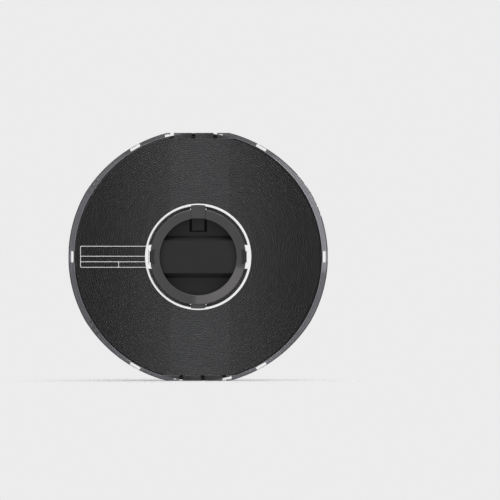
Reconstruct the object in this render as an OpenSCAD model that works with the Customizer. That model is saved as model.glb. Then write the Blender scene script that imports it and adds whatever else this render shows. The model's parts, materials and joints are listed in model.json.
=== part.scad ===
// Filament spool: two clear half-spools that lap at the drum, a dark snap-in hub with a
// pinch grip and a sprung release latch, and one strand wound between the flanges.
// It is drawn face up, with x to the right, y up and z to the front; upright() stands it
// on its lower flats, with its front towards -Y and the axis of the spool along Y.

/* [Winding] */
// Diameter of the strand
strand_d = 1.75; // [1.6:0.05:3]
// Width between the two sides of the winding
winding_w = 31.8; // [24:0.1:38]
// Gap between the full winding and the level of the flats
full_gap = 0.05; // [0.05:0.05:2]
// Gap that the drawn outer turns keep between them
turn_gap = 0.42; // [0.41:0.01:0.6]
// Radius of the bend where each end of the outer layer dives to the layer below
dive_r = 1.3; // [1:0.1:2]

/* [Flanges] */
// Diameter over the rims
flange_d = 200; // [180:1:220]
// Angle above and below the level of the axis up to which the rim is fully round
round_angle = 30; // [27:1:36]
// Angle at which the flatter arcs of the rim beyond that are lowest
dip_angle = 70; // [66:1:72]
// Depth of those arcs below the full round
rim_dip = 1.5; // [0.6:0.1:1.6]
// Depth that each flat cuts off the round rim
flat_cut = 4.5; // [3:0.1:8]
// Thickness of the clear discs
disc_t = 1.6; // [1.2:0.1:2.4]
// Gap between the winding and the clear walls round it
side_gap = 0.15; // [0.1:0.05:0.5]
// Radial width of the rim bead
rim_w = 4.4; // [3.4:0.1:6]
// Thickness of the front rim, from the inner face of its disc
front_rim_t = 4.05; // [3:0.05:6]
// Thickness of the rear rim, from the inner face of its disc
rear_rim_t = 3.25; // [2.8:0.05:6]
// Rounding of the outer rim edge
rim_round = 1.1; // [0.6:0.1:1.2]
// Rounding of the inner edges of the beads
bead_round = 0.5; // [0.3:0.1:1]

/* [Rim slots and holes] */
// Number of see-through slots round each rim
slot_n = 6; // [4:2:6]
// Width of a rim slot
slot_w = 2.4; // [2:0.1:2.5]
// Length of a rim slot, end to end
slot_l = 8.8; // [6:0.2:12]
// Rounding of the corners of a slot
slot_round = 0.8; // [0.4:0.1:0.9]
// Distance from the full round to the middle of a slot
slot_inset = 2.8; // [2.7:0.05:2.9]
// Diameter of the holes that park the loose end of the strand
park_hole_d = 2.2; // [2:0.1:2.4]
// Angle between parking holes
park_step = 3; // [2.5:0.1:4]
// Angle of the first parking hole from the level of the axis
park_angle = 31; // [30:1:40]
// Half the angle that the finger scallop in the rear rim spans
scallop_angle = 28; // [20:1:40]

/* [Notches in the flats] */
// Width of a notch
notch_w = 3; // [2:0.1:4]
// Depth of a notch, and width of the straight bead that it crosses
notch_depth = 4.3; // [3:0.1:6]
// Distance from one notch to the next
notch_step = 16.7; // [12:0.1:18]
// Offset of the middle notch from the middle of the flat
notch_offset = -3.5; // [-6:0.1:0]
// Width of the wide window beside the first notch
window_w = 4.1; // [3:0.1:6]
// Width of the small window beside the last notch
small_window_w = 3.4; // [2:0.1:4]
// Wall left outside each window
window_wall = 0.8; // [0.6:0.1:1.2]

/* [Drum] */
// Outer diameter of the drum
drum_d = 81.8; // [80:0.2:100]
// Wall of the drum
drum_wall = 1.3; // [1.2:0.1:1.6]
// Height that the drum ends stand proud of the discs
drum_lip = 0.35; // [0.2:0.05:0.8]
// Length of the lap where the two halves of the drum join
lap_l = 4; // [2:0.5:8]
// Wall of the inner half of the lap
lap_t = 0.6; // [0.5:0.05:0.7]
// Gap all round in the lap
lap_gap = 0.1; // [0.05:0.05:0.15]
// Width of the spline at each side of the drum bore
spline_w = 18; // [17:0.5:20]
// Height of the splines, inwards
spline_t = 1.15; // [1:0.05:1.4]
// Width of the two prongs on each spline
prong_w = 2.9; // [2:0.1:3]
// Opening between the two prongs
prong_opening = 11.4; // [10.4:0.1:12]

/* [Hub ring] */
// Gap between the hub ring and the bore of the drum
ring_gap = 2.7; // [2.6:0.05:3.4]
// Width of its face, from its outer edge to its finger opening
ring_face_w = 7.3; // [6.9:0.1:8.2]
// Height of the hub ring in front of the front rim
ring_proud = 3.2; // [1:0.1:5]
// Fall of its face from the finger opening outwards
ring_fall = 0.4; // [0.2:0.1:0.6]
// Rounding of its outer edge
ring_round = 0.8; // [0.4:0.1:2]
// Rounding of its inner edge
ring_inner_round = 0.4; // [0.3:0.1:1]
// Wall of the hub parts
hub_wall = 2; // [1.6:0.1:2.2]
// Number of ribs between the two walls of the ring
ring_rib_n = 8; // [4:4:8]
// Thickness of ribs in the hub
rib_t = 1.6; // [1.2:0.1:2]
// Width of the key at each side of the ring
key_w = 8.6; // [6:0.1:9]
// Height of the keys over the ring
key_reach = 0.5; // [0.3:0.1:0.8]
// Gap between the splines and the parts of the hub
key_gap = 0.2; // [0.15:0.05:0.3]

/* [Grip] */
// Length of a finger pocket, from the edge of the finger opening to the foot of the bar
pocket_l = 13.5; // [12:0.1:16]
// Run of the two sloped sides of the bar
bar_slope = 3.6; // [1:0.1:4]
// Depth of the bar face below the front of the hub ring
bar_drop = 4.3; // [2:0.1:8]
// Depth of the finger pockets below the front of the hub ring
pocket_depth = 13.1; // [11:0.1:15]
// Wall of the grip tray
tray_t = 1.6; // [1.2:0.1:2]
// Gap between the tray and the hub ring
tray_gap = 0.15; // [0.1:0.05:0.3]

/* [Release latch] */
// Width of the finger pad and the riser
latch_w = 9.4; // [8:0.1:9.8]
// Width of the strap across the ring, and of the fixed clip
strap_w = 11; // [10:0.1:12]
// Length of the finger pad
pad_l = 9.5; // [8:0.1:10.6]
// Opening each side of the pad
pad_side_gap = 2.15; // [1:0.05:2.4]
// Opening under the free end of the pad
pad_end_gap = 0.8; // [0.5:0.1:1]
// Thickness of the pad, riser and strap
latch_t = 1.7; // [1.2:0.1:1.8]
// Gap round the latch where it passes the ring
latch_gap = 0.25; // [0.2:0.05:0.3]
// Depth of the strap face below the face of the ring
strap_drop = 0.1; // [0.05:0.05:0.3]
// Reach of the hooks into the drum wall
hook_reach = 0.4; // [0.3:0.05:0.6]
// Gap between a hook and its notch
hook_gap = 0.15; // [0.1:0.05:0.2]
// Depth of the hooks inside the drum mouth
hook_depth = 2.4; // [1.5:0.1:4]

/* [Hub core] */
// Diameter of the spindle socket in the rear
socket_d = 52; // [48:0.5:56]
// Wall between the socket and the tray
web_t = 1.6; // [1.4:0.1:2]
// Room between the web and the tray
tray_room = 4; // [3.4:0.1:5]
// Gap between the collars of the core and the bore of the drum
collar_gap = 0.3; // [0.2:0.05:0.4]
// Thickness of the rear collar
collar_t = 1.6; // [1:0.1:3]
// Number of ribs round the socket
socket_rib_n = 8; // [4:1:12]
// Depth of those ribs inside the rear of the core
rib_drop = 2; // [1:0.5:6]
// Width of the see-through slots in the collars beside the clips
sight_w = 0.8; // [0.6:0.1:1.2]
// Gap between the side of a clip and such a slot
sight_gap = 0.1; // [0.1:0.1:1.2]

/* [Tag] */
// Diameter of the identification tag
tag_d = 24; // [14:1:24]
// Thickness of the tag
tag_t = 1; // [0.6:0.1:1.2]

/* [Hidden] */
$fn = 96;
eps = 0.01;
far = 300;

// Radii
flange_r = flange_d / 2;
flat_y = flange_r - flat_cut;
rim_in_r = flange_r - rim_w;
drum_r = drum_d / 2;
drum_in_r = drum_r - drum_wall;
ring_r = drum_in_r - ring_gap;
ring_in_r = ring_r - ring_face_w;
collar_r = drum_in_r - collar_gap;
socket_r = socket_d / 2;
tray_r = ring_r - hub_wall - tray_gap;

// Levels along the axis, from the middle of the winding to the front
side_z = winding_w / 2 + side_gap;
face_z = side_z + disc_t;
front_z = side_z + front_rim_t;
rear_z = side_z + rear_rim_t;
drum_end_z = face_z + drum_lip;
ring_z = front_z + ring_proud;
ring_edge_z = ring_z - ring_fall;
pocket_z = ring_z - pocket_depth;
tray_back_z = pocket_z - tray_t;
web_front_z = tray_back_z - tray_room;
web_back_z = web_front_z - web_t;
bar_z = ring_z - bar_drop;
core_back_z = -drum_end_z;

// The flatter arcs of the rim: they leave the full round at round_angle
low_r = flange_r - rim_dip;
arc_offset = (flange_r ^ 2 - low_r ^ 2) / 2 / (low_r - flange_r * cos(dip_angle - round_angle));
arc_r = low_r + arc_offset;

// The winding: as far out as the beads and the flats let it, whole turns across the width
wound_r = min(rim_in_r, flat_y) - full_gap;
turns = floor(winding_w / strand_d);

// The outer layer is one six-sided tube with a ring of points at each step of its helix.
// A corner of each ring points outwards, so the tube is narrower across the flats.
tube_sides = 6;
rings_per_turn = 24;
dive_steps = 3;
tube_w = (winding_w / turns - turn_gap) / (1 + 1 / turns);
tube_r = tube_w / 2 / cos(180 / tube_sides);
tube_pitch = (winding_w - tube_w) / turns;
coil_r = wound_r - tube_r;
wound_core_r = coil_r - dive_r - 2 * tube_r;
first_turn_angle = 200;
ring_total = turns * rings_per_turn;

// The grip bar and the release latch
bar_foot = ring_in_r - pocket_l;
pad_end = ring_in_r - pad_l;
riser_slot_w = latch_w + 2 * latch_gap;
strap_slot_w = strap_w + 2 * latch_gap;
riser_in = ring_in_r;
riser_out = riser_in + latch_t;
strap_z = ring_z - ring_fall - strap_drop;
strap_back_z = strap_z - latch_t;
hook_out = drum_in_r + hook_reach;
hook_notch_r = hook_out + hook_gap;
hook_z = drum_end_z - hook_depth;
notch_z = hook_z - hook_gap;

function unit_radial(a) = [cos(a), sin(a), 0];

// [middle, outward normal, side normal, way ahead] of ring k of the helix
function turn_ring(k) =
    let (
        a = first_turn_angle + 360 * k / rings_per_turn,
        z = (tube_w - winding_w) / 2 + tube_pitch * k / rings_per_turn,
        ahead = [-sin(a), cos(a), 0]
    )
    [coil_r * unit_radial(a) + [0, 0, z], unit_radial(a), cross(ahead, unit_radial(a)), ahead];

// The same for a ring of the dive at an end: turned by angle, then drop straight towards the axis
function dive_ring(k, way, angle, drop) =
    let (
        from = turn_ring(k),
        out = from[1],
        ahead = way * from[3]
    )
    [
        from[0] + dive_r * sin(angle) * ahead - (dive_r * (1 - cos(angle)) + drop) * out,
        cos(angle) * out + sin(angle) * ahead,
        from[2]
    ];

tube_rings = concat(
    [dive_ring(0, -1, 90, 2 * tube_r)],
    [for (i = [dive_steps:-1:1]) dive_ring(0, -1, 90 * i / dive_steps, 0)],
    [for (k = [0:ring_total]) turn_ring(k)],
    [for (i = [1:dive_steps]) dive_ring(ring_total, 1, 90 * i / dive_steps, 0)],
    [dive_ring(ring_total, 1, 90, 2 * tube_r)]
);

tube_points = [
    for (ring = tube_rings)
        for (j = [0:tube_sides - 1])
            ring[0] + tube_r * (cos(360 * j / tube_sides) * ring[1] + sin(360 * j / tube_sides) * ring[2])
];

tube_faces = concat(
    [
        for (i = [0:len(tube_rings) - 2])
            for (j = [0:tube_sides - 1])
                let (
                    a = i * tube_sides + j,
                    b = i * tube_sides + (j + 1) % tube_sides
                )
                each [[a, b, b + tube_sides], [a, b + tube_sides, a + tube_sides]]
    ],
    [for (j = [1:tube_sides - 2]) [0, j + 1, j]],
    [
        for (j = [1:tube_sides - 2])
            let (last = (len(tube_rings) - 1) * tube_sides)
            [last, last + j, last + j + 1]
    ]
);

// Least distance between the corners of a ring and those of the ring one turn on
function least_turn_gap() = min([
    for (i = [0:len(tube_rings) - 1 - rings_per_turn])
        for (j = [0:tube_sides - 1])
            for (m = [0:tube_sides - 1])
                norm(tube_points[i * tube_sides + j] - tube_points[(i + rings_per_turn) * tube_sides + m])
]);

// Points of an arc in a profile, by its middle, radius and two angles
function arc(middle, r, from, to, steps = 6) = [
    for (i = [0:steps])
        let (a = from + (to - from) * i / steps)
        [middle[0] + r * cos(a), middle[1] + r * sin(a)]
];

module upright() {
    rotate([90, 0, 0])
        children();
}

module at_both_ends() {
    for (turn = [0, 180])
        rotate([0, 0, turn])
            children();
}

module tube(outer, inner, from, to) {
    translate([0, 0, from])
        difference() {
            cylinder(r = outer, h = to - from);
            translate([0, 0, -eps])
                cylinder(r = inner, h = to - from + 2 * eps);
        }
}

// A box by its middle in x, and its ends in y and z
module span(w, y_from, y_to, z_from, z_to) {
    translate([-w / 2, y_from, z_from])
        cube([w, y_to - y_from, z_to - z_from]);
}

// Ribs between two radii, n of them, the first half a step round from the x axis
module radial_ribs(n, r_from, r_to, z_from, z_to) {
    for (i = [0:n - 1])
        rotate([0, 0, 360 * (i + 0.5) / n])
            translate([r_from, -rib_t / 2, z_from])
                cube([r_to - r_from, rib_t, z_to - z_from]);
}

// Disc and rim bead of a flange, with its inner face at side_z
module disc_and_rim(rim_top) {
    rotate_extrude()
        polygon(concat(
            [[drum_r - eps, side_z], [flange_r, side_z]],
            arc([flange_r - rim_round, rim_top - rim_round], rim_round, 0, 90),
            arc([rim_in_r + bead_round, rim_top - bead_round], bead_round, 90, 180),
            [[rim_in_r, face_z], [drum_r - eps, face_z]]
        ));
}

// A disc with a rounded edge, set off from the axis so that it is lowest at the given angle
module low_disc(angle, rim_top) {
    translate(-arc_offset * unit_radial(angle))
        rotate_extrude()
            polygon(concat(
                [[0, side_z - 1], [arc_r, side_z - 1]],
                arc([arc_r - rim_round, rim_top - rim_round], rim_round, 0, 90),
                [[0, rim_top]]
            ));
}

// Straight bead along the flat at the top, from one end of the round bead to the other
module flat_bead(rim_top) {
    inner_y = flat_y - notch_depth;
    intersection() {
        rotate([90, 0, 90])
            linear_extrude(far, center = true)
                polygon(concat(
                    [[inner_y, face_z - eps], [flange_r, face_z - eps], [flange_r, rim_top]],
                    arc([inner_y + bead_round, rim_top - bead_round], bead_round, 90, 180)
                ));
        cylinder(r = flange_r - rim_w / 2, h = far);
    }
}

module rim_slot() {
    x = slot_w / 2 - slot_round;
    y = slot_l / 2 - slot_round;
    translate([0, 0, side_z - 1])
        linear_extrude(far) {
            square([slot_w, 2 * y], center = true);
            square([2 * x, slot_l], center = true);
            for (corner = [[x, y], [-x, y], [x, -y], [-x, -y]])
                translate(corner)
                    circle(r = slot_round);
        }
}

module rim_slots() {
    for (i = [0:slot_n - 1])
        rotate([0, 0, 360 * i / slot_n])
            translate([flange_r - slot_inset, 0, 0])
                rim_slot();
}

// A see-through window that reaches from the outside of the winding to a thin outer wall
module window(middle, w) {
    difference() {
        intersection() {
            translate([middle, 0, 0])
                span(w, 0, flat_y - window_wall, side_z - 1, far);
            cylinder(r = low_r - window_wall, h = 2 * far);
        }
        cylinder(r = wound_r, h = far);
    }
}

// What is cut from the rim along one flat: the flat, its three notches and two windows
module flat_cuts() {
    span(far, flat_y, far, side_z - 1, far);
    for (i = [-1:1])
        translate([notch_offset + i * notch_step, 0, 0])
            span(notch_w, flat_y - notch_depth, far, side_z - 1, far);
    window(notch_offset - notch_step - (notch_w + window_w) / 2, window_w + 2 * eps);
    window(notch_offset + notch_step + (notch_w + small_window_w) / 2 + window_wall, small_window_w);
}

module flange(rim_top) {
    difference() {
        union() {
            intersection() {
                disc_and_rim(rim_top);
                low_disc(dip_angle, rim_top);
                low_disc(-dip_angle, rim_top);
                low_disc(180 - dip_angle, rim_top);
                low_disc(180 + dip_angle, rim_top);
            }
            at_both_ends()
                flat_bead(rim_top);
        }
        rim_slots();
        at_both_ends()
            flat_cuts();
    }
}

// Radial holes in the rim, above and below the level of the axis on the left
module parking_holes() {
    for (half = [-1, 1])
        for (i = [0:2])
            rotate([0, 0, 180 + half * (park_angle + i * park_step)])
                translate([rim_in_r - 1, 0, face_z + eps])
                    rotate([0, 90, 0])
                        cylinder(d = park_hole_d, h = rim_w + 2);
}

// The splines in the bore of the drum, one at each side, each with its two prongs
module splines(from, to) {
    intersection() {
        tube(drum_r - drum_wall / 2, ring_r + key_gap, from, to);
        at_both_ends() {
            translate([drum_in_r - spline_t, -spline_w / 2, from])
                cube([drum_wall + spline_t, spline_w, to - from]);
            for (y = [-prong_opening / 2 - prong_w, prong_opening / 2])
                translate([ring_in_r, y, from])
                    cube([drum_in_r - ring_in_r, prong_w, to - from]);
        }
    }
}

module hook_notch() {
    intersection() {
        span(strap_slot_w + latch_gap, 0, far, notch_z, far);
        cylinder(r = hook_notch_r, h = far);
    }
}

module front_flange() {
    color("gainsboro", 0.4)
        upright() {
            difference() {
                union() {
                    flange(front_z);
                    tube(drum_r, drum_in_r, 0, drum_end_z);
                    splines(0, drum_end_z);
                }
                parking_holes();
                at_both_ends()
                    hook_notch();
            }
            tube(drum_in_r + lap_t, drum_in_r, -lap_l, eps);
        }
}

module scallop() {
    intersection() {
        tube(far, rim_in_r - 1, face_z, far);
        translate([0, 0, face_z])
            linear_extrude(far)
                polygon([
                    [0, 0],
                    -far * [cos(scallop_angle), sin(scallop_angle)],
                    -far * [cos(scallop_angle), -sin(scallop_angle)]
                ]);
    }
}

module rear_flange() {
    lap_end_z = -lap_l - lap_gap;
    color("gainsboro", 0.4)
        upright() {
            mirror([0, 0, 1])
                difference() {
                    flange(rear_z);
                    scallop();
                }
            difference() {
                tube(drum_r, drum_in_r, -drum_end_z, -lap_gap);
                translate([0, 0, lap_end_z])
                    cylinder(r = drum_in_r + lap_t + lap_gap, h = far);
            }
            splines(-drum_end_z, lap_end_z);
        }
}

// Notches in the collars of the core, which let the splines of the drum pass
module spline_notches() {
    difference() {
        translate([-far / 2, -spline_w / 2 - key_gap, -far / 2])
            cube([far, spline_w + 2 * key_gap, far]);
        translate([0, 0, -far])
            cylinder(r = ring_r, h = 2 * far);
    }
}

// Slots through the collars of the core, one at each side of each clip
module sight_slots() {
    intersection() {
        tube(ring_r + sight_w, ring_r, -far, far);
        at_both_ends()
            for (side = [-1, 1])
                translate([side * (strap_w / 2 + sight_gap + sight_w / 2), 0, 0])
                    span(sight_w, 0, far, -far, far);
    }
}

module hub_core() {
    color("dimgray")
        upright() {
            difference() {
                union() {
                    tube(ring_r, ring_r - hub_wall, core_back_z, web_front_z);
                    tube(collar_r, ring_r - hub_wall, core_back_z, core_back_z + collar_t);
                    translate([0, 0, web_back_z])
                        cylinder(r = collar_r, h = web_t);
                    translate([0, 0, core_back_z])
                        cylinder(r = socket_r + hub_wall, h = web_front_z - core_back_z);
                    radial_ribs(
                        socket_rib_n, socket_r + hub_wall / 2, ring_r - hub_wall / 2,
                        core_back_z + rib_drop, web_back_z + eps
                    );
                }
                translate([0, 0, core_back_z - 1])
                    cylinder(r = socket_r, h = web_back_z - core_back_z + 1);
                spline_notches();
                sight_slots();
            }
        }
}

// Half section of the ring: an open channel with a falling face and rounded edges
module ring_section() {
    outer_in = ring_r - hub_wall;
    inner_out = ring_in_r + hub_wall;
    polygon(concat(
        [[outer_in, web_front_z], [ring_r, web_front_z]],
        arc([ring_r - ring_round, ring_edge_z - ring_round], ring_round, 0, 90),
        arc([ring_in_r + ring_inner_round, ring_z - ring_inner_round], ring_inner_round, 90, 180),
        [
            [ring_in_r, pocket_z],
            [inner_out, pocket_z],
            [inner_out, ring_edge_z - hub_wall],
            [outer_in, ring_edge_z - hub_wall]
        ]
    ));
}

// A strap that reaches outwards to the drum mouth and turns down in a hook, with a round outer face
module strap_and_hook(from, strap_bottom, strap_top) {
    intersection() {
        union() {
            span(strap_w, from, far, strap_bottom, strap_top);
            span(strap_w, hook_out - latch_t, far, hook_z, strap_top);
        }
        cylinder(r = hook_out, h = far);
    }
}

// Fixed clip, drawn at the top of the ring
module fixed_clip() {
    strap_and_hook(ring_r - hub_wall / 2, drum_end_z, drum_end_z + latch_t);
}

// Key at one side of the ring, between the prongs of a spline
module side_key() {
    translate([ring_r - hub_wall, -key_w / 2, web_front_z])
        cube([hub_wall + key_reach, key_w, drum_end_z - web_front_z]);
}

module hub_ring() {
    color("dimgray")
        upright() {
            difference() {
                union() {
                    rotate_extrude()
                        ring_section();
                    radial_ribs(
                        ring_rib_n, ring_in_r + hub_wall / 2, ring_r - hub_wall / 2,
                        pocket_z + tray_gap, ring_edge_z - hub_wall / 2
                    );
                }
                span(riser_slot_w, 0, ring_in_r + hub_wall + eps, pocket_z - 1, far);
                span(strap_slot_w, 0, far, strap_back_z - latch_gap, far);
            }
            mirror([0, 1, 0])
                fixed_clip();
            at_both_ends()
                side_key();
        }
}

module bar_section(inset) {
    base = bar_foot - inset;
    face = base - bar_slope;
    rotate([90, 0, 90])
        linear_extrude(far, center = true)
            polygon([
                [-base, pocket_z - tray_t - eps],
                [base, pocket_z - tray_t - eps],
                [base, pocket_z],
                [face, bar_z - inset],
                [-face, bar_z - inset],
                [-base, pocket_z]
            ]);
}

module grip_tray() {
    color("darkslategray")
        upright()
            difference() {
                union() {
                    translate([0, 0, tray_back_z])
                        cylinder(r = tray_r, h = tray_t);
                    tube(tray_r, tray_r - tray_t, web_front_z, tray_back_z + eps);
                    intersection() {
                        bar_section(0);
                        cylinder(r = ring_in_r - tray_gap, h = far);
                    }
                }
                intersection() {
                    bar_section(tray_t);
                    cylinder(r = ring_in_r - tray_gap - tray_t, h = far);
                }
                span(latch_w + 2 * pad_side_gap, pad_end - pad_end_gap, riser_out + latch_gap, 0, far);
            }
}

module release_latch() {
    color("dimgray")
        upright() {
            span(latch_w, pad_end, riser_out, pocket_z - latch_t, pocket_z);
            span(latch_w, riser_in, riser_out, pocket_z - latch_t, strap_z);
            strap_and_hook(riser_in, strap_back_z, strap_z);
        }
}

module id_tag() {
    color("beige")
        upright()
            translate([0, 0, web_front_z])
                cylinder(d = tag_d, h = tag_t);
}

module filament_core() {
    color("black")
        upright()
            tube(wound_core_r, drum_r + side_gap, -winding_w / 2, winding_w / 2);
}

module filament_outer() {
    echo(str("least gap between turns of the outer layer: ", least_turn_gap(), " mm"));
    color("black")
        upright()
            polyhedron(points = tube_points, faces = tube_faces);
}

front_flange();
rear_flange();
hub_core();
hub_ring();
grip_tray();
release_latch();
id_tag();
filament_core();
filament_outer();
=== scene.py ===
"""Looks of a filament spool: clear half-spools, a dark snap-in hub and a wound black strand.

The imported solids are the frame, and every length is in metres. The front faces -Y, +Z is up, and
the origin is on the axis of the spool, midway between the two sides of the winding.
"""
import json
import math

import bpy
from mathutils import Matrix, Vector

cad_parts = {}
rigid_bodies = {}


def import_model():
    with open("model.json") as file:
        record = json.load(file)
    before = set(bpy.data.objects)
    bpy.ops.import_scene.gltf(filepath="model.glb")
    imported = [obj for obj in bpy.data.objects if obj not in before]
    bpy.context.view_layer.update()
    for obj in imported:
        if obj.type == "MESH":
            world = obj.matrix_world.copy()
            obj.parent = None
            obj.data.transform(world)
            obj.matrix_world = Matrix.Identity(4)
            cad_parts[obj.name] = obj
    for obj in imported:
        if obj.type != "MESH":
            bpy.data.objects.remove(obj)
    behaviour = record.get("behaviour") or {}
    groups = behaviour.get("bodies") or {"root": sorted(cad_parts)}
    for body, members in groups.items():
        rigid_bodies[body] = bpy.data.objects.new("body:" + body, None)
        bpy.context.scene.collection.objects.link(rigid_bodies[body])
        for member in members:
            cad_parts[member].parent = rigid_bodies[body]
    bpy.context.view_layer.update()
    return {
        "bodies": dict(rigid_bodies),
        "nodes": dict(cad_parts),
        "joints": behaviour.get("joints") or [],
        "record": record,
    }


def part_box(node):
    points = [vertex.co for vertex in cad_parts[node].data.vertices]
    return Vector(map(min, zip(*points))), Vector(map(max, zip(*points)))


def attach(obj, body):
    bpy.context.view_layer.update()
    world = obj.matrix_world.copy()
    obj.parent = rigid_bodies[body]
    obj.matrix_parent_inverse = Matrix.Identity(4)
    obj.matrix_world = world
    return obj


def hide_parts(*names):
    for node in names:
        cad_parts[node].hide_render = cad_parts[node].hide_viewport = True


MM = 0.001

# ---------------------------------------------------------------- sizes

# The strand and its winding
STRAND_D = 1.75 * MM
TURNS = 18
LAYERS = 31
DRUM_R = 40.9 * MM
DRUM_GAP = 0.05 * MM  # from the drum to the innermost turns
FULL_GAP = 0.05 * MM  # from the full winding to the level of the flats
JOG_SHARE = 0.12  # share of a turn in which the strand steps over to the next place
POINTS_PER_TURN = 144
TUBE_RESOLUTION = 2  # gives the strand's tube eight sides
INNER_LAYERS_GAP = 0.2 * MM  # from the drum to the ring that stands for the inner layers
INNER_LAYERS_BEVEL = 0.4 * MM

# Turned pieces
ROUND_SIDES = 192
SOFT_EDGE = math.radians(40)  # edges up to this angle are shaded smooth

# The front disc lies this far behind the face of its rim
DISC_DEPTH = 2.45 * MM

# The white frame printed on the front disc
PRINT_LEFT = -90.85 * MM
PRINT_TOP = 8.4 * MM
PRINT_BOTTOM = -8.3 * MM
PRINT_LINES = (0.45 * MM, -3.8 * MM)  # heights of the two lines between its rows
PRINT_SPLIT = -61.2 * MM  # the upright line in its last row
PRINT_LINE_W = 0.5 * MM
PRINT_CORNER = 0.9 * MM
CORNER_STEPS = 4
PRINT_MOUTH_R = 41.0 * MM  # it ends at the round mouth of the drum
PRINT_PAST_MOUTH = 5 * MM  # how far it is drawn into the mouth before it is cut off there
INK_T = 0.06 * MM
CUT_REACH = 1 * MM  # how far a cutting block stands out of the print on either side

# ---------------------------------------------------------------- finishes, with painted light and shade

# A pair of values here gives the two ends of a gradual change, or of a slight drift.

# The frost on the beads along the rim and the flats
RIM_FROST_R = (95.2 * MM, 95.6 * MM)  # radius at which the bead along the rim starts
FLAT_FROST_Z = (91.0 * MM, 91.3 * MM)  # height at which the beads along the flats start
OUTER_FACE = (0.5, 0.9)  # how much a surface looks along the axis, where it is an outer face
INNER_EDGE = (0.05, 0.3)  # and where it is the rounded inner edge of the bead along the rim,
INNER_EDGE_R = (97.0 * MM, 96.2 * MM)  # which lies within this radius
FROST_ROUGHNESS = (0.0, 0.35)

# How much light the frost lets through, painted lighter at the right and above as painted light,
# and where that changes
FROST_LIT_LOW_LEFT = "#6E6E74"
FROST_LIT_LOW_RIGHT = "#828288"
FROST_LIT_HIGH_LEFT = "#7A7A80"
FROST_LIT_HIGH_RIGHT = "#AAAAB0"
FROST_X = (20 * MM, 90 * MM)
FROST_Z = (-14 * MM, -9 * MM)
# Painted shade darkens the frost beside the upper flat, and painted light lightens it beside the
# lower one
TOP_FLAT_Z = (72 * MM, 82 * MM)
TOP_FLAT_PAINTED_SHADE = (1.0, 0.64)
LOW_FLAT_Z = (-66 * MM, -84 * MM)
LOW_FLAT_PAINTED_LIGHT = (1.0, 1.55)

# The notches in the beads along the flats, and the painted shade that darkens the bead towards each
# of them, as if it sank there
NOTCH_STEP = 16.7 * MM
NOTCH_AT = -3.5 * MM  # the middle one of the upper flat
RAMPS_REACH = 1.08  # how far from the middle notch the painted shade reaches, in steps
RAMP_SHARE = (0.25, 0.75)  # the part of a step over which the painted shade deepens,
MOUTH_SHARE = (0.83, 0.87)  # and in which it darkens most, at the mouth of the next notch
RAMP_SHADE = "#3A3A3E"
MOUTH_SHADE = "#0C0C0E"

# The polished discs, and the painted shade on them beside the bead at the right and below
DISC_TINT = "#FEFEFE"
DISC_EDGE_SHADE = "#808084"
DISC_EDGE_R = (94.0 * MM, 94.6 * MM)
DISC_EDGE_X = (-30 * MM, 20 * MM)
SHADOW_TINT = "#F2F2F3"  # of the light that a clear piece lets by to what lies behind it

# The strand
STRAND_SHADES = ("#0E0E10", "#141417")
STRAND_ROUGHNESS = (0.55, 0.62)

# The hub
TONE_DRIFT = (0.9, 1.1)
ROUGHNESS_DRIFT = 0.04  # to either side
RECESS_DEPTH = 2 * MM  # over which the painted light and shade of the recesses sets in
RECESS_SKIN = 0.4  # share of the thin gloss that the recesses have
SLOPE_TILT = (0.6, 0.9)  # how much a surface looks up or down, where it is a slope
CORE_EDGE = 0.3 * MM  # how far the face of the core reaches back
COLLAR_R = 36.6 * MM  # inner radius of the painted light on the face of the core's front collar
CLIP_R = 37.4 * MM  # radius from which the ring's fixed clip is painted paler, as painted light
COLLAR_BLEND = 0.3 * MM  # over which either sets in
KEY_Z = (6.3 * MM, 5.1 * MM)  # the painted shade beside each key of the ring: half its height,
KEY_R = (32.6 * MM, 34.6 * MM)  # and the radius at which it starts

# ---------------------------------------------------------------- camera and studio

# A long lens square to the front, as a catalogue view is taken
FRAME_W = 385.1 * MM
CAMERA_DISTANCE = 8.0
CAMERA_X = 39.97 * MM
CAMERA_Z = 5.26 * MM
SENSOR_W = 36.0
CLIP_END = 100.0

# What the camera sees behind the object
BACKDROP = "#ECECEC"

# The room's light, and the parts of a direction between which it changes
ROOM_Z = (0.1, 0.9)
ROOM_LIGHT = (0.2, 0.6)  # at the sides, and overhead and underfoot
RING_Y = (0.5, 0.7)  # a wide ring of soft light lies round the line of sight
RING_LIGHT = 0.8
AHEAD_Y = (0.985, 0.993)  # straight ahead, where the discs mirror it, the room is dimmer again
AHEAD_LIGHT = (0.42, 0.17)  # in the middle, and at the left and right
AHEAD_HALF = 86 * MM  # half the width over which a disc shows it fall off
ONWARD_Y = 0.98  # a ray that looks more along +Y than this runs on towards the backdrop,
WALL_GRAZES = 3  # and may graze a clear wall's inside so many times on its way
HALF_BOUNCE = 0.5  # lies between two counts of a ray's bounces

# The strip light far ahead: where the front disc mirrors its two edges
STRIP_DISTANCE = 16.0
STRIP_LEFT = -21.5 * MM
STRIP_RIGHT = 24 * MM
STRIP_H = 0.8
STRIP_POWER = 0.0255
STRIP_COLOUR = "#E6EBFF"

# The panel low at the right, which the hub ring's sloping face mirrors
PANEL_DISTANCE = 4.0
PANEL_LEFT = -0.054
PANEL_TOP = -0.144
PANEL_W = 0.65
PANEL_H = 0.45
PANEL_POWER = 1.5
PANEL_COLOUR = "#FFF6F9"

# Place, width, height and power of each softbox
SOFTBOXES = {
    "softbox_overhead": ((0.0, -1.1, 1.6), 2.4, 1.0, 16.0),
    "softbox_right": ((1.5, 0.35, 0.85), 0.7, 0.7, 15.0),
}

FLOOR_R = 0.22
FLOOR_SIDES = 96
FLOOR_TONE = "#E6E6E6"
FLOOR_FADE_R = (0.05, 0.17)
FLOOR_FADE = (0.35, 1.0)  # how much of the backdrop shows through it


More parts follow.
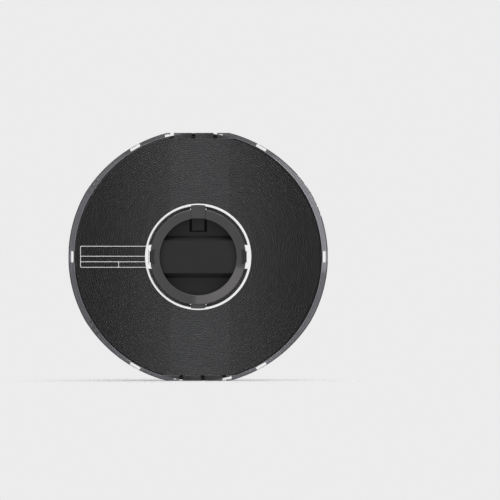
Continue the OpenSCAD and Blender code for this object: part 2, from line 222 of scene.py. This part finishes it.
def srgb(hex_colour):
    """A hex colour as the linear RGBA that the shaders take."""
    parts = [int(hex_colour[i:i + 2], 16) / 255 for i in (1, 3, 5)]
    return [c / 12.92 if c <= 0.04045 else ((c + 0.055) / 1.055) ** 2.4 for c in parts] + [1.0]


# ---------------------------------------------------------------- materials

# Inputs of a Map Range node, in pairs
FROM = ("From Min", "From Max")
TO = ("To Min", "To Max")

# Inputs of a Mix node, by number, because those for numbers and for colours share their names
FACTOR, NUMBER_A, NUMBER_B, COLOUR_A, COLOUR_B = 0, 2, 3, 6, 7

# Settings: a Map Range node that eases in and out, and a Mix node for colours
SMOOTH = {"interpolation_type": "SMOOTHSTEP"}
COLOURS = {"data_type": "RGBA"}


def add(tree, kind, inputs=None, **settings):
    """Adds a node. Each of its inputs takes a number, a colour, an output to link, or a node, whose
    first output in use is linked. A pair of inputs takes a pair of values."""
    new = tree.nodes.new(kind)
    for name, value in settings.items():
        setattr(new, name, value)
    for key, given in (inputs or {}).items():
        pairs = zip(key, given) if isinstance(key, tuple) else [(key, given)]
        for name, value in pairs:
            if isinstance(value, bpy.types.Node):
                value = next(output for output in value.outputs if output.enabled)
            if isinstance(value, bpy.types.NodeSocket):
                tree.links.new(value, new.inputs[name])
            else:
                new.inputs[name].default_value = value
    return new


def new_material(name):
    material = bpy.data.materials.new(name)
    material.use_nodes = True
    material.node_tree.nodes.clear()
    return material, material.node_tree


def distance_out(tree, directions):
    """Distance of a point from the origin, counted only along the given directions."""
    place = add(tree, "ShaderNodeTexCoord").outputs["Object"]
    flat = add(tree, "ShaderNodeVectorMath", {0: place, 1: directions}, operation="MULTIPLY")
    return add(tree, "ShaderNodeVectorMath", {0: flat}, operation="LENGTH")


def radius_from_axis(tree):
    """Distance of a point from the axis of the spool, which lies along Y."""
    return distance_out(tree, (1, 0, 1))


def looks_along(tree, axis):
    """How much a surface looks along an axis, either way: 1 is straight along it."""
    normal = add(tree, "ShaderNodeTexCoord").outputs["Normal"]
    part = add(tree, "ShaderNodeSeparateXYZ", {0: normal}).outputs[axis]
    return add(tree, "ShaderNodeMath", {0: part}, operation="ABSOLUTE")


def frosted_faces(tree, radius, along_flats):
    """1 on the outer faces of the beads along the rim and the flats, and on the rounded inner edge
    of the bead along the rim, and 0 elsewhere."""
    along_rim = add(tree, "ShaderNodeMapRange", {"Value": radius, FROM: RIM_FROST_R}, **SMOOTH)
    beads = add(tree, "ShaderNodeMath", {0: along_rim, 1: along_flats}, operation="MAXIMUM")
    along_axis = looks_along(tree, "Y")
    outer = add(tree, "ShaderNodeMapRange", {"Value": along_axis, FROM: OUTER_FACE}, **SMOOTH)
    curved = add(tree, "ShaderNodeMapRange", {"Value": along_axis, FROM: INNER_EDGE}, **SMOOTH)
    within = add(tree, "ShaderNodeMapRange", {"Value": radius, FROM: INNER_EDGE_R}, **SMOOTH)
    inner = add(tree, "ShaderNodeMath", {0: curved, 1: within}, operation="MULTIPLY")
    faces = add(tree, "ShaderNodeMath", {0: outer, 1: inner}, operation="MAXIMUM")
    return add(tree, "ShaderNodeMath", {0: beads, 1: faces}, operation="MULTIPLY")


def frost_tints_and_light(tree, x, z, above):
    """Tints of the frost: the plain one, painted lighter at the right and above as painted light,
    and the same with painted shade beside the upper flat and painted light beside the lower one."""
    right = add(tree, "ShaderNodeMapRange", {"Value": x, FROM: FROST_X}, **SMOOTH)
    low = add(tree, "ShaderNodeMix", {
        FACTOR: right, COLOUR_A: srgb(FROST_LIT_LOW_LEFT), COLOUR_B: srgb(FROST_LIT_LOW_RIGHT),
    }, **COLOURS)
    high = add(tree, "ShaderNodeMix", {
        FACTOR: right, COLOUR_A: srgb(FROST_LIT_HIGH_LEFT), COLOUR_B: srgb(FROST_LIT_HIGH_RIGHT),
    }, **COLOURS)
    plain = add(tree, "ShaderNodeMix", {FACTOR: above, COLOUR_A: low, COLOUR_B: high}, **COLOURS)
    by_top = add(tree, "ShaderNodeMapRange", {
        "Value": z, FROM: TOP_FLAT_Z, TO: TOP_FLAT_PAINTED_SHADE,
    }, **SMOOTH)
    by_low = add(tree, "ShaderNodeMapRange", {
        "Value": z, FROM: LOW_FLAT_Z, TO: LOW_FLAT_PAINTED_LIGHT,
    }, **SMOOTH)
    light = add(tree, "ShaderNodeMath", {0: by_top, 1: by_low}, operation="MULTIPLY")
    return plain, add(tree, "ShaderNodeVectorMath", {0: plain, "Scale": light}, operation="SCALE")


def ramp_shades(tree, x, z, plain):
    """1 along the part of a flat that has notches, and the tint of its bead there. Painted shade
    darkens it from the plain tint towards each notch, as if the face sank there, and most of all at
    the notch's mouth. The lower flat is the upper one turned half round."""
    side = add(tree, "ShaderNodeMath", {0: z}, operation="SIGN")
    along = add(tree, "ShaderNodeMath", {0: x, 1: side}, operation="MULTIPLY")
    past_notch = add(tree, "ShaderNodeMath", {0: along, 1: NOTCH_AT}, operation="SUBTRACT")
    steps = add(tree, "ShaderNodeMath", {0: past_notch, 1: NOTCH_STEP}, operation="DIVIDE")
    away = add(tree, "ShaderNodeMath", {0: steps}, operation="ABSOLUTE")
    near = add(tree, "ShaderNodeMath", {0: away, 1: RAMPS_REACH}, operation="LESS_THAN")
    share = add(tree, "ShaderNodeMath", {0: steps}, operation="FRACT")
    deepening_shade = add(tree, "ShaderNodeMapRange", {"Value": share, FROM: RAMP_SHARE}, **SMOOTH)
    ramp = add(tree, "ShaderNodeMix", {
        FACTOR: deepening_shade, COLOUR_A: plain, COLOUR_B: srgb(RAMP_SHADE),
    }, **COLOURS)
    at_mouth = add(tree, "ShaderNodeMapRange", {"Value": share, FROM: MOUTH_SHARE}, **SMOOTH)
    tint = add(tree, "ShaderNodeMix", {
        FACTOR: at_mouth, COLOUR_A: ramp, COLOUR_B: srgb(MOUTH_SHADE),
    }, **COLOURS)
    return near, tint


def disc_tint_and_shade(tree, x, above, radius):
    """Tint of the polished discs: clear, with painted shade beside the bead at the right and below.
    """
    right = add(tree, "ShaderNodeMapRange", {"Value": x, FROM: DISC_EDGE_X}, **SMOOTH)
    below = add(tree, "ShaderNodeMath", {0: 1.0, 1: above}, operation="SUBTRACT")
    there = add(tree, "ShaderNodeMath", {0: right, 1: below}, operation="MAXIMUM")
    by_bead = add(tree, "ShaderNodeMapRange", {"Value": radius, FROM: DISC_EDGE_R}, **SMOOTH)
    edge = add(tree, "ShaderNodeMath", {0: by_bead, 1: there}, operation="MULTIPLY")
    return add(tree, "ShaderNodeMix", {
        FACTOR: edge, COLOUR_A: srgb(DISC_TINT), COLOUR_B: srgb(DISC_EDGE_SHADE),
    }, **COLOURS)


def clear_plastic():
    """Clear polycarbonate, injection moulded. A polished tool leaves it smooth and glassy. A
    blasted part of the tool frosts the beads along the rim and the flats, which scatter light to a
    soft grey. That grey has painted light at the right and above and beside the lower flat, and
    painted shade beside the upper flat and towards each notch. Painted shade also darkens the discs
    beside the bead at the right and below."""
    material, tree = new_material("polycarbonate_moulded_clear")
    place = add(tree, "ShaderNodeTexCoord").outputs["Object"]
    parts = add(tree, "ShaderNodeSeparateXYZ", {0: place}).outputs
    x, z = parts["X"], parts["Z"]
    radius = radius_from_axis(tree)
    above = add(tree, "ShaderNodeMapRange", {"Value": z, FROM: FROST_Z}, **SMOOTH)
    height = add(tree, "ShaderNodeMath", {0: z}, operation="ABSOLUTE")
    along_flats = add(tree, "ShaderNodeMapRange", {"Value": height, FROM: FLAT_FROST_Z}, **SMOOTH)
    plain, off_ramps = frost_tints_and_light(tree, x, z, above)
    near_notch, shaded_ramps = ramp_shades(tree, x, z, plain)
    ramps = add(tree, "ShaderNodeMath", {0: near_notch, 1: along_flats}, operation="MULTIPLY")
    # The frost's tint, with its painted light and the painted shade towards the notches
    frost = add(tree, "ShaderNodeMix", {
        FACTOR: ramps, COLOUR_A: off_ramps, COLOUR_B: shaded_ramps,
    }, **COLOURS)
    disc = disc_tint_and_shade(tree, x, above, radius)
    frosted = frosted_faces(tree, radius, along_flats)
    tint = add(tree, "ShaderNodeMix", {FACTOR: frosted, COLOUR_A: disc, COLOUR_B: frost}, **COLOURS)
    rough = add(tree, "ShaderNodeMapRange", {"Value": frosted, TO: FROST_ROUGHNESS})
    clear = add(tree, "ShaderNodeBsdfPrincipled", {
        "Base Color": tint, "Roughness": rough, "IOR": 1.585, "Transmission Weight": 1.0,
    })
    rays = add(tree, "ShaderNodeLightPath").outputs
    lets_by = add(tree, "ShaderNodeMath", {
        0: rays["Is Shadow Ray"], 1: rays["Is Diffuse Ray"],
    }, operation="MAXIMUM")
    thin = add(tree, "ShaderNodeBsdfTransparent", {"Color": srgb(SHADOW_TINT)})
    shader = add(tree, "ShaderNodeMixShader", {0: lets_by, 1: clear, 2: thin})
    add(tree, "ShaderNodeOutputMaterial", {"Surface": shader})
    return material


def strand_plastic():
    """PETG, extruded: black with a bluish cast and a soft gloss, both drifting over some 11 mm."""
    material, tree = new_material("petg_extruded_black")
    place = add(tree, "ShaderNodeTexCoord").outputs["Object"]
    drift = add(tree, "ShaderNodeTexNoise", {"Vector": place, "Scale": 90.0, "Detail": 2.0})
    dark, light = STRAND_SHADES
    tone = add(tree, "ShaderNodeMix", {
        FACTOR: drift, COLOUR_A: srgb(dark), COLOUR_B: srgb(light),
    }, **COLOURS)
    rough = add(tree, "ShaderNodeMapRange", {"Value": drift, TO: STRAND_ROUGHNESS})
    plastic = add(tree, "ShaderNodeBsdfPrincipled", {
        "Base Color": tone, "Roughness": rough, "IOR": 1.57, "Specular IOR Level": 0.25,
    })
    add(tree, "ShaderNodeOutputMaterial", {"Surface": plastic})
    return material


def front_tone(tree, face, collar, collar_r, key):
    """Tone of a hub part's face. Outside collar_r it is painted paler, as painted light, and on the
    patches beside the two keys it is painted darker, as painted shade, where those tones are given."""
    tone = srgb(face)
    if collar:
        outside = add(tree, "ShaderNodeMapRange", {
            "Value": radius_from_axis(tree), FROM: (collar_r - COLLAR_BLEND, collar_r),
        }, **SMOOTH)
        tone = add(tree, "ShaderNodeMix", {
            FACTOR: outside, COLOUR_A: tone, COLOUR_B: srgb(collar),
        }, **COLOURS)
    if key:
        place = add(tree, "ShaderNodeTexCoord").outputs["Object"]
        z = add(tree, "ShaderNodeSeparateXYZ", {0: place}).outputs["Z"]
        height = add(tree, "ShaderNodeMath", {0: z}, operation="ABSOLUTE")
        level = add(tree, "ShaderNodeMapRange", {"Value": height, FROM: KEY_Z}, **SMOOTH)
        out = add(tree, "ShaderNodeMapRange", {
            "Value": radius_from_axis(tree), FROM: KEY_R,
        }, **SMOOTH)
        by_key = add(tree, "ShaderNodeMath", {0: level, 1: out}, operation="MULTIPLY")
        tone = add(tree, "ShaderNodeMix", {
            FACTOR: by_key, COLOUR_A: tone, COLOUR_B: srgb(key),
        }, **COLOURS)
    return tone


def hub_plastic(name, face, recess, slope, edge_y, roughness, skin=0.0, collar=None,
                collar_r=COLLAR_R, key=None):
    """ABS, injection moulded against a finely spark-eroded tool, which leaves it matt. The real
    grain is about 0.05 mm and is drawn at 0.25 mm, so that it shows from near by. The tone and the
    roughness drift a little over some 17 mm. The floors and the slopes of the recesses behind
    edge_y are painted in tones of their own, which in the tray, the ring and the latch are painted
    light and shade: lighter in the tray's pockets, darker in the ring's and the latch's recesses.
    The skin is the thin gloss that a smoother tool leaves."""
    material, tree = new_material(name)
    place = add(tree, "ShaderNodeTexCoord").outputs["Object"]
    drift = add(tree, "ShaderNodeTexNoise", {"Vector": place, "Scale": 60.0, "Detail": 2.0})
    grain = add(tree, "ShaderNodeTexNoise", {
        "Vector": place, "Scale": 1 / (0.5 * MM), "Detail": 3.0,
    })
    bump = add(tree, "ShaderNodeBump", {"Height": grain, "Strength": 0.15, "Distance": 0.02 * MM})
    depth = add(tree, "ShaderNodeSeparateXYZ", {0: place}).outputs["Y"]
    deep = add(tree, "ShaderNodeMapRange", {
        "Value": depth, FROM: (edge_y, edge_y + RECESS_DEPTH),
    }, **SMOOTH)
    sloping = add(tree, "ShaderNodeMapRange", {
        "Value": looks_along(tree, "Z"), FROM: SLOPE_TILT,
    }, **SMOOTH)
    inside = add(tree, "ShaderNodeMix", {
        FACTOR: sloping, COLOUR_A: srgb(recess), COLOUR_B: srgb(slope),
    }, **COLOURS)
    tone = add(tree, "ShaderNodeMix", {
        FACTOR: deep, COLOUR_A: front_tone(tree, face, collar, collar_r, key), COLOUR_B: inside,
    }, **COLOURS)
    uneven = add(tree, "ShaderNodeMapRange", {"Value": drift, TO: TONE_DRIFT})
    base = add(tree, "ShaderNodeVectorMath", {0: tone, "Scale": uneven}, operation="SCALE")
    rough = add(tree, "ShaderNodeMapRange", {
        "Value": drift, TO: (roughness - ROUGHNESS_DRIFT, roughness + ROUGHNESS_DRIFT),
    })
    gloss = add(tree, "ShaderNodeMapRange", {"Value": deep, TO: (skin, RECESS_SKIN * skin)})
    plastic = add(tree, "ShaderNodeBsdfPrincipled", {
        "Base Color": base, "Roughness": rough, "IOR": 1.53, "Specular IOR Level": 0.25,
        "Normal": bump, "Coat Weight": gloss, "Coat Roughness": 0.06, "Coat IOR": 1.53,
    })
    add(tree, "ShaderNodeOutputMaterial", {"Surface": plastic})
    return material


def mottled(name, size, detail, shades, roughness, ior):
    """A plain finish whose tone varies between two shades, in a pattern of the given size."""
    material, tree = new_material(name)
    place = add(tree, "ShaderNodeTexCoord").outputs["Object"]
    cover = add(tree, "ShaderNodeTexNoise", {"Vector": place, "Scale": 1 / size, "Detail": detail})
    dark, light = shades
    tone = add(tree, "ShaderNodeMix", {
        FACTOR: cover, COLOUR_A: srgb(dark), COLOUR_B: srgb(light),
    }, **COLOURS)
    coat = add(tree, "ShaderNodeBsdfPrincipled", {
        "Base Color": tone, "Roughness": roughness, "IOR": ior,
    })
    add(tree, "ShaderNodeOutputMaterial", {"Surface": coat})
    return material


def white_ink():
    """Pad-printed white ink: flat white with a slightly uneven cover."""
    return mottled("ink_pad_printed_white", size=0.6 * MM, detail=2.0,
                   shades=("#D9D9D9", "#EDEDED"), roughness=0.55, ior=1.5)


def tag_film():
    """Polyester film over paper, laminated: a warm off-white with a faint pattern of fibres."""
    return mottled("polyester_laminated_film", size=0.8 * MM, detail=3.0,
                   shades=("#E2DFD4", "#EFEDE4"), roughness=0.4, ior=1.6)


def floor_paint():
    """Matt studio floor, pale, fading out round the object so that it has no far edge."""
    material, tree = new_material("studio_floor_matt")
    gone = add(tree, "ShaderNodeMapRange", {
        "Value": distance_out(tree, (1, 1, 0)), FROM: FLOOR_FADE_R, TO: FLOOR_FADE,
    }, **SMOOTH)
    paint = add(tree, "ShaderNodeBsdfDiffuse", {"Color": srgb(FLOOR_TONE)})
    clear = add(tree, "ShaderNodeBsdfTransparent")
    shader = add(tree, "ShaderNodeMixShader", {0: gone, 1: paint, 2: clear})
    add(tree, "ShaderNodeOutputMaterial", {"Surface": shader})
    return material


def paint_over(piece, material):
    piece.data.materials.clear()
    piece.data.materials.append(material)


# ---------------------------------------------------------------- pieces

def select_only(piece):
    bpy.ops.object.select_all(action="DESELECT")
    piece.select_set(True)
    bpy.context.view_layer.objects.active = piece


def select_edges(piece, wanted):
    """Goes into edit mode with just the edges selected whose two end points wanted() accepts."""
    select_only(piece)
    bpy.ops.object.mode_set(mode="EDIT")
    bpy.ops.mesh.select_mode(type="EDGE")
    bpy.ops.mesh.select_all(action="DESELECT")
    bpy.ops.object.mode_set(mode="OBJECT")
    points = piece.data.vertices
    for edge in piece.data.edges:
        edge.select = wanted(*(points[i].co for i in edge.vertices))
    bpy.ops.object.mode_set(mode="EDIT")


def add_cylinder(name, radius, length, middle_y, caps):
    """A cylinder along Y, about the axis of the spool."""
    bpy.ops.object.select_all(action="DESELECT")
    bpy.ops.mesh.primitive_cylinder_add(
        vertices=ROUND_SIDES, radius=radius, depth=length, end_fill_type=caps,
        location=(0, middle_y, 0), rotation=(math.pi / 2, 0, 0))
    cylinder = bpy.context.object
    cylinder.name = name
    bpy.ops.object.transform_apply(location=True, rotation=True, scale=True)
    return cylinder


def add_block(name, x_from, x_to, z_from, z_to, y_from, y_to, corner):
    """A block whose four edges along Y are rounded."""
    bpy.ops.object.select_all(action="DESELECT")
    middle = ((x_from + x_to) / 2, (y_from + y_to) / 2, (z_from + z_to) / 2)
    bpy.ops.mesh.primitive_cube_add(size=1, location=middle,
                                    scale=(x_to - x_from, y_to - y_from, z_to - z_from))
    block = bpy.context.object
    block.name = name
    bpy.ops.object.transform_apply(location=True, rotation=True, scale=True)
    select_edges(block, lambda a, b: abs(a.y - b.y) > (y_to - y_from) / 2)
    bpy.ops.mesh.bevel(offset=corner, segments=CORNER_STEPS, affect="EDGES")
    bpy.ops.object.mode_set(mode="OBJECT")
    return block


def strand_path():
    """Points of the whole visible strand, wound about the Z axis: out in a flat spiral over one
    side, across the outside turn by turn, and in again over the other side."""
    first_r = DRUM_R + DRUM_GAP + STRAND_D / 2
    last_r = WOUND_R - STRAND_D / 2
    layer_step = (last_r - first_r) / (LAYERS - 1)
    half = WINDING_HALF - STRAND_D / 2
    pitch = 2 * half / (TURNS - 1)
    spiral_points = (LAYERS - 1) * POINTS_PER_TURN
    points = []

    def point(turns, r, z):
        a = 2 * math.pi * turns
        points.append((r * math.cos(a), r * math.sin(a), z))

    for i in range(spiral_points):
        turns = i / POINTS_PER_TURN
        point(turns, first_r + layer_step * turns, -half)
    for i in range(TURNS * POINTS_PER_TURN):
        turn, part = divmod(i, POINTS_PER_TURN)
        share = part / POINTS_PER_TURN
        jog = max(0.0, (share - (1 - JOG_SHARE)) / JOG_SHARE) if turn < TURNS - 1 else 0.0
        point(turn + share, last_r, -half + pitch * (turn + jog * jog * (3 - 2 * jog)))
    for i in range(spiral_points + 1):
        turns = i / POINTS_PER_TURN
        point(turns, last_r - layer_step * turns, half)
    return points


def make_strand():
    """The strand as one tube along its path, turned to lie about the Y axis."""
    points = strand_path()
    curve = bpy.data.curves.new("strand_path", "CURVE")
    curve.dimensions = "3D"
    curve.twist_mode = "Z_UP"
    curve.bevel_depth = STRAND_D / 2
    curve.bevel_resolution = TUBE_RESOLUTION
    curve.use_fill_caps = True
    line = curve.splines.new("POLY")
    line.points.add(len(points) - 1)
    for spot, place in zip(line.points, points):
        spot.co = (*place, 1.0)
    strand = bpy.data.objects.new("wound_strand", curve)
    bpy.context.collection.objects.link(strand)
    select_only(strand)
    bpy.ops.object.convert(target="MESH")
    strand = bpy.context.view_layer.objects.active
    strand.data.transform(Matrix.Rotation(math.pi / 2, 4, "X"))
    bpy.ops.object.shade_smooth()
    return strand


def make_inner_layers():
    """The layers under the visible strand: a bevelled ring whose sides and rim lie at the middle of
    the strands that cover it."""
    half = WINDING_HALF - STRAND_D / 2
    outer = WOUND_R - STRAND_D / 2
    ring = add_cylinder("strand_inner_layers", outer, 2 * half, 0, "NOTHING")
    wall = ring.modifiers.new("wall", "SOLIDIFY")
    wall.thickness = outer - DRUM_R - INNER_LAYERS_GAP
    wall.offset = -1.0
    edge = ring.modifiers.new("edge", "BEVEL")
    edge.width = INNER_LAYERS_BEVEL
    edge.segments = 2
    edge.limit_method = "ANGLE"
    for name in ("wall", "edge"):
        bpy.ops.object.modifier_apply(modifier=name)
    bpy.ops.object.shade_smooth_by_angle(angle=SOFT_EDGE)
    return ring


def make_printed_frame():
    """The white lines printed on the front disc: a frame with one heading row and two rows below
    it, all left empty."""
    back = FACE_Y
    front = FACE_Y - INK_T
    right = PRINT_PAST_MOUTH - PRINT_MOUTH_R
    frame = add_block("printed_frame", PRINT_LEFT, right, PRINT_BOTTOM, PRINT_TOP, front, back,
                      PRINT_CORNER)
    half = PRINT_LINE_W / 2
    left = PRINT_LEFT + PRINT_LINE_W
    beyond = right + PRINT_PAST_MOUTH
    top = PRINT_TOP - PRINT_LINE_W
    middle, low = PRINT_LINES
    bottom = PRINT_BOTTOM + PRINT_LINE_W
    rows = [
        (left, beyond, middle + half, top),
        (left, beyond, low + half, middle - half),
        (left, PRINT_SPLIT - half, bottom, low - half),
        (PRINT_SPLIT + half, beyond, bottom, low - half),
    ]
    cutters = [
        add_block(f"row_{i}", *row, front - CUT_REACH, back + CUT_REACH, PRINT_CORNER - half)
        for i, row in enumerate(rows)
    ]
    cutters.append(add_cylinder("mouth", PRINT_MOUTH_R, 2 * CUT_REACH, (front + back) / 2, "NGON"))
    for cutter in cutters:
        select_only(frame)
        cut = frame.modifiers.new("cut", "BOOLEAN")
        cut.operation = "DIFFERENCE"
        cut.object = cutter
        cut.solver = "EXACT"
        bpy.ops.object.modifier_apply(modifier="cut")
        bpy.data.objects.remove(cutter, do_unlink=True)
    return frame


# ---------------------------------------------------------------- studio

def room_light(tree, parts):
    """How bright the room is each way: dim, brighter overhead and underfoot, with a wide ring of
    soft light round the line of sight, and dimmer again straight ahead."""
    height = add(tree, "ShaderNodeMath", {0: parts["Z"]}, operation="ABSOLUTE")
    room = add(tree, "ShaderNodeMapRange", {
        "Value": height, FROM: ROOM_Z, TO: ROOM_LIGHT,
    }, **SMOOTH)
    depth = add(tree, "ShaderNodeMath", {0: parts["Y"]}, operation="ABSOLUTE")
    in_ring = add(tree, "ShaderNodeMapRange", {"Value": depth, FROM: RING_Y}, **SMOOTH)
    ringed = add(tree, "ShaderNodeMix", {FACTOR: in_ring, NUMBER_A: room, NUMBER_B: RING_LIGHT})
    aside = add(tree, "ShaderNodeMath", {0: parts["X"], 1: CAMERA_X / CAMERA_DISTANCE})
    off = add(tree, "ShaderNodeMath", {0: aside}, operation="ABSOLUTE")
    ahead = add(tree, "ShaderNodeMapRange", {
        "Value": off, FROM: (0.0, AHEAD_HALF / CAMERA_DISTANCE), TO: AHEAD_LIGHT,
    }, **SMOOTH)
    in_middle = add(tree, "ShaderNodeMapRange", {"Value": depth, FROM: AHEAD_Y}, **SMOOTH)
    return add(tree, "ShaderNodeMix", {FACTOR: in_middle, NUMBER_A: ringed, NUMBER_B: ahead})


def make_world():
    """The room's soft light. The camera sees the pale backdrop in its place, and what is seen
    straight through clear plastic is white, also where it grazed the inside of a clear wall."""
    world = bpy.data.worlds.new("studio")
    bpy.context.scene.world = world
    world.use_nodes = True
    tree = world.node_tree
    tree.nodes.clear()
    way = add(tree, "ShaderNodeTexCoord").outputs["Generated"]
    parts = add(tree, "ShaderNodeSeparateXYZ", {0: way}).outputs
    rays = add(tree, "ShaderNodeLightPath").outputs
    onward = add(tree, "ShaderNodeMath", {0: parts["Y"], 1: ONWARD_Y}, operation="GREATER_THAN")
    grazes = add(tree, "ShaderNodeMath", {
        0: onward, 1: WALL_GRAZES, 2: HALF_BOUNCE,
    }, operation="MULTIPLY_ADD")
    unturned = add(tree, "ShaderNodeMath", {
        0: rays["Glossy Depth"], 1: grazes,
    }, operation="LESS_THAN")
    unscattered = add(tree, "ShaderNodeMath", {
        0: rays["Diffuse Depth"], 1: HALF_BOUNCE,
    }, operation="LESS_THAN")
    straight = add(tree, "ShaderNodeMath", {0: unturned, 1: unscattered}, operation="MULTIPLY")
    through = add(tree, "ShaderNodeMath", {
        0: rays["Is Transmission Ray"], 1: straight,
    }, operation="MULTIPLY")
    white = srgb("#FFFFFF")
    soft = add(tree, "ShaderNodeBackground", {"Color": white, "Strength": room_light(tree, parts)})
    bright = add(tree, "ShaderNodeBackground", {"Color": white, "Strength": 1.0})
    pale = add(tree, "ShaderNodeBackground", {"Color": srgb(BACKDROP), "Strength": 1.0})
    lit = add(tree, "ShaderNodeMixShader", {0: through, 1: soft, 2: bright})
    both = add(tree, "ShaderNodeMixShader", {0: rays["Is Camera Ray"], 1: lit, 2: pale})
    add(tree, "ShaderNodeOutputWorld", {"Surface": both})


def add_softbox(name, place, width, height, power, target=(0, 0, 0), colour="#FFFFFF"):
    light = bpy.data.lights.new(name, "AREA")
    light.color = srgb(colour)[:3]
    light.shape = "RECTANGLE"
    light.size = width
    light.size_y = height
    light.energy = power
    lamp = bpy.data.objects.new(name, light)
    bpy.context.collection.objects.link(lamp)
    lamp.location = place
    lamp.rotation_euler = (Vector(target) - Vector(place)).to_track_quat("-Z", "Y").to_euler()


def mirrored(x, distance):
    """Where a lamp at that distance ahead stands, so that the front disc shows it at x."""
    return x + (x - CAMERA_X) * distance / CAMERA_DISTANCE


def add_front_lights():
    left = mirrored(STRIP_LEFT, STRIP_DISTANCE)
    right = mirrored(STRIP_RIGHT, STRIP_DISTANCE)
    middle = (left + right) / 2
    add_softbox("strip_light", (middle, -STRIP_DISTANCE, 0.0), right - left, STRIP_H, STRIP_POWER,
                (middle, 0, 0), STRIP_COLOUR)
    x = PANEL_LEFT + PANEL_W / 2
    z = PANEL_TOP - PANEL_H / 2
    add_softbox("panel_low_right", (x, -PANEL_DISTANCE, z), PANEL_W, PANEL_H, PANEL_POWER,
                (x, 0, z), PANEL_COLOUR)


def make_floor(level):
    bpy.ops.object.select_all(action="DESELECT")
    bpy.ops.mesh.primitive_circle_add(vertices=FLOOR_SIDES, radius=FLOOR_R, fill_type="NGON",
                                      location=(0, 0, level))
    floor = bpy.context.object
    floor.name = "studio_floor"
    bpy.ops.object.transform_apply(location=True, rotation=True, scale=True)
    paint_over(floor, floor_paint())


def make_camera():
    data = bpy.data.cameras.new("catalogue_view")
    data.sensor_width = SENSOR_W
    data.lens = SENSOR_W * CAMERA_DISTANCE / FRAME_W
    data.clip_end = CLIP_END
    camera = bpy.data.objects.new("catalogue_view", data)
    bpy.context.collection.objects.link(camera)
    camera.location = (CAMERA_X, RIM_Y - CAMERA_DISTANCE, CAMERA_Z)
    camera.rotation_euler = (math.pi / 2, 0, 0)
    bpy.context.scene.camera = camera


# ---------------------------------------------------------------- the spool

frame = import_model()
nodes = frame["nodes"]

WINDING_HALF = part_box("filament_core")[1].y
WOUND_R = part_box("front_flange")[1].z - FULL_GAP
RIM_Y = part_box("front_flange")[0].y
FACE_Y = RIM_Y + DISC_DEPTH
FLOOR_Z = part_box("front_flange")[0].z

clear = clear_plastic()

# Near black and matt. Painted light makes the floors and slopes of its pockets a little lighter.
tray_matt = hub_plastic(
    "abs_moulded_matt_black", face="#1E1E1F", recess="#2B2B2C", slope="#383839", edge_y=RIM_Y,
    roughness=0.5)

# Black and matt. The face of its front collar, seen in the gap round the ring, is painted pale, as
# painted light.
core_matt = hub_plastic(
    "abs_moulded_matt_dark", face="#0C0C0D", recess="#262627", slope="#262627",
    edge_y=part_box("hub_core")[0].y + CORE_EDGE, roughness=0.5, collar="#868687")

# Dark grey under a thin gloss that mirrors the room. Its clip is painted paler, as painted light,
# and painted shade darkens it beside its keys and in its recesses.
ring_satin = hub_plastic(
    "abs_moulded_satin_grey", face="#3E3E3F", recess="#121213", slope="#121213", edge_y=RIM_Y,
    roughness=0.38, skin=1.0, collar="#565657", collar_r=CLIP_R, key="#161617")

# As the ring, without the painted light on its clip and the painted shade beside its keys; painted
# shade darkens its recessed pad too
latch_satin = hub_plastic(
    "abs_moulded_satin_latch", face="#3E3E3F", recess="#121213", slope="#121213", edge_y=RIM_Y,
    roughness=0.38, skin=1.0)

for name, material in {
    "front_flange": clear,
    "rear_flange": clear,
    "hub_core": core_matt,
    "hub_ring": ring_satin,
    "grip_tray": tray_matt,
    "release_latch": latch_satin,
    "id_tag": tag_film(),
}.items():
    paint_over(nodes[name], material)

black_strand = strand_plastic()
strand = make_strand()
paint_over(strand, black_strand)
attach(strand, "spool")
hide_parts("filament_outer")

inner_layers = make_inner_layers()
paint_over(inner_layers, black_strand)
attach(inner_layers, "spool")
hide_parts("filament_core")

printed_frame = make_printed_frame()
paint_over(printed_frame, white_ink())
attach(printed_frame, "spool")

make_world()
for name, softbox in SOFTBOXES.items():
    add_softbox(name, *softbox)
add_front_lights()
make_floor(FLOOR_Z)
make_camera()
bpy.context.scene.view_settings.view_transform = "Standard"
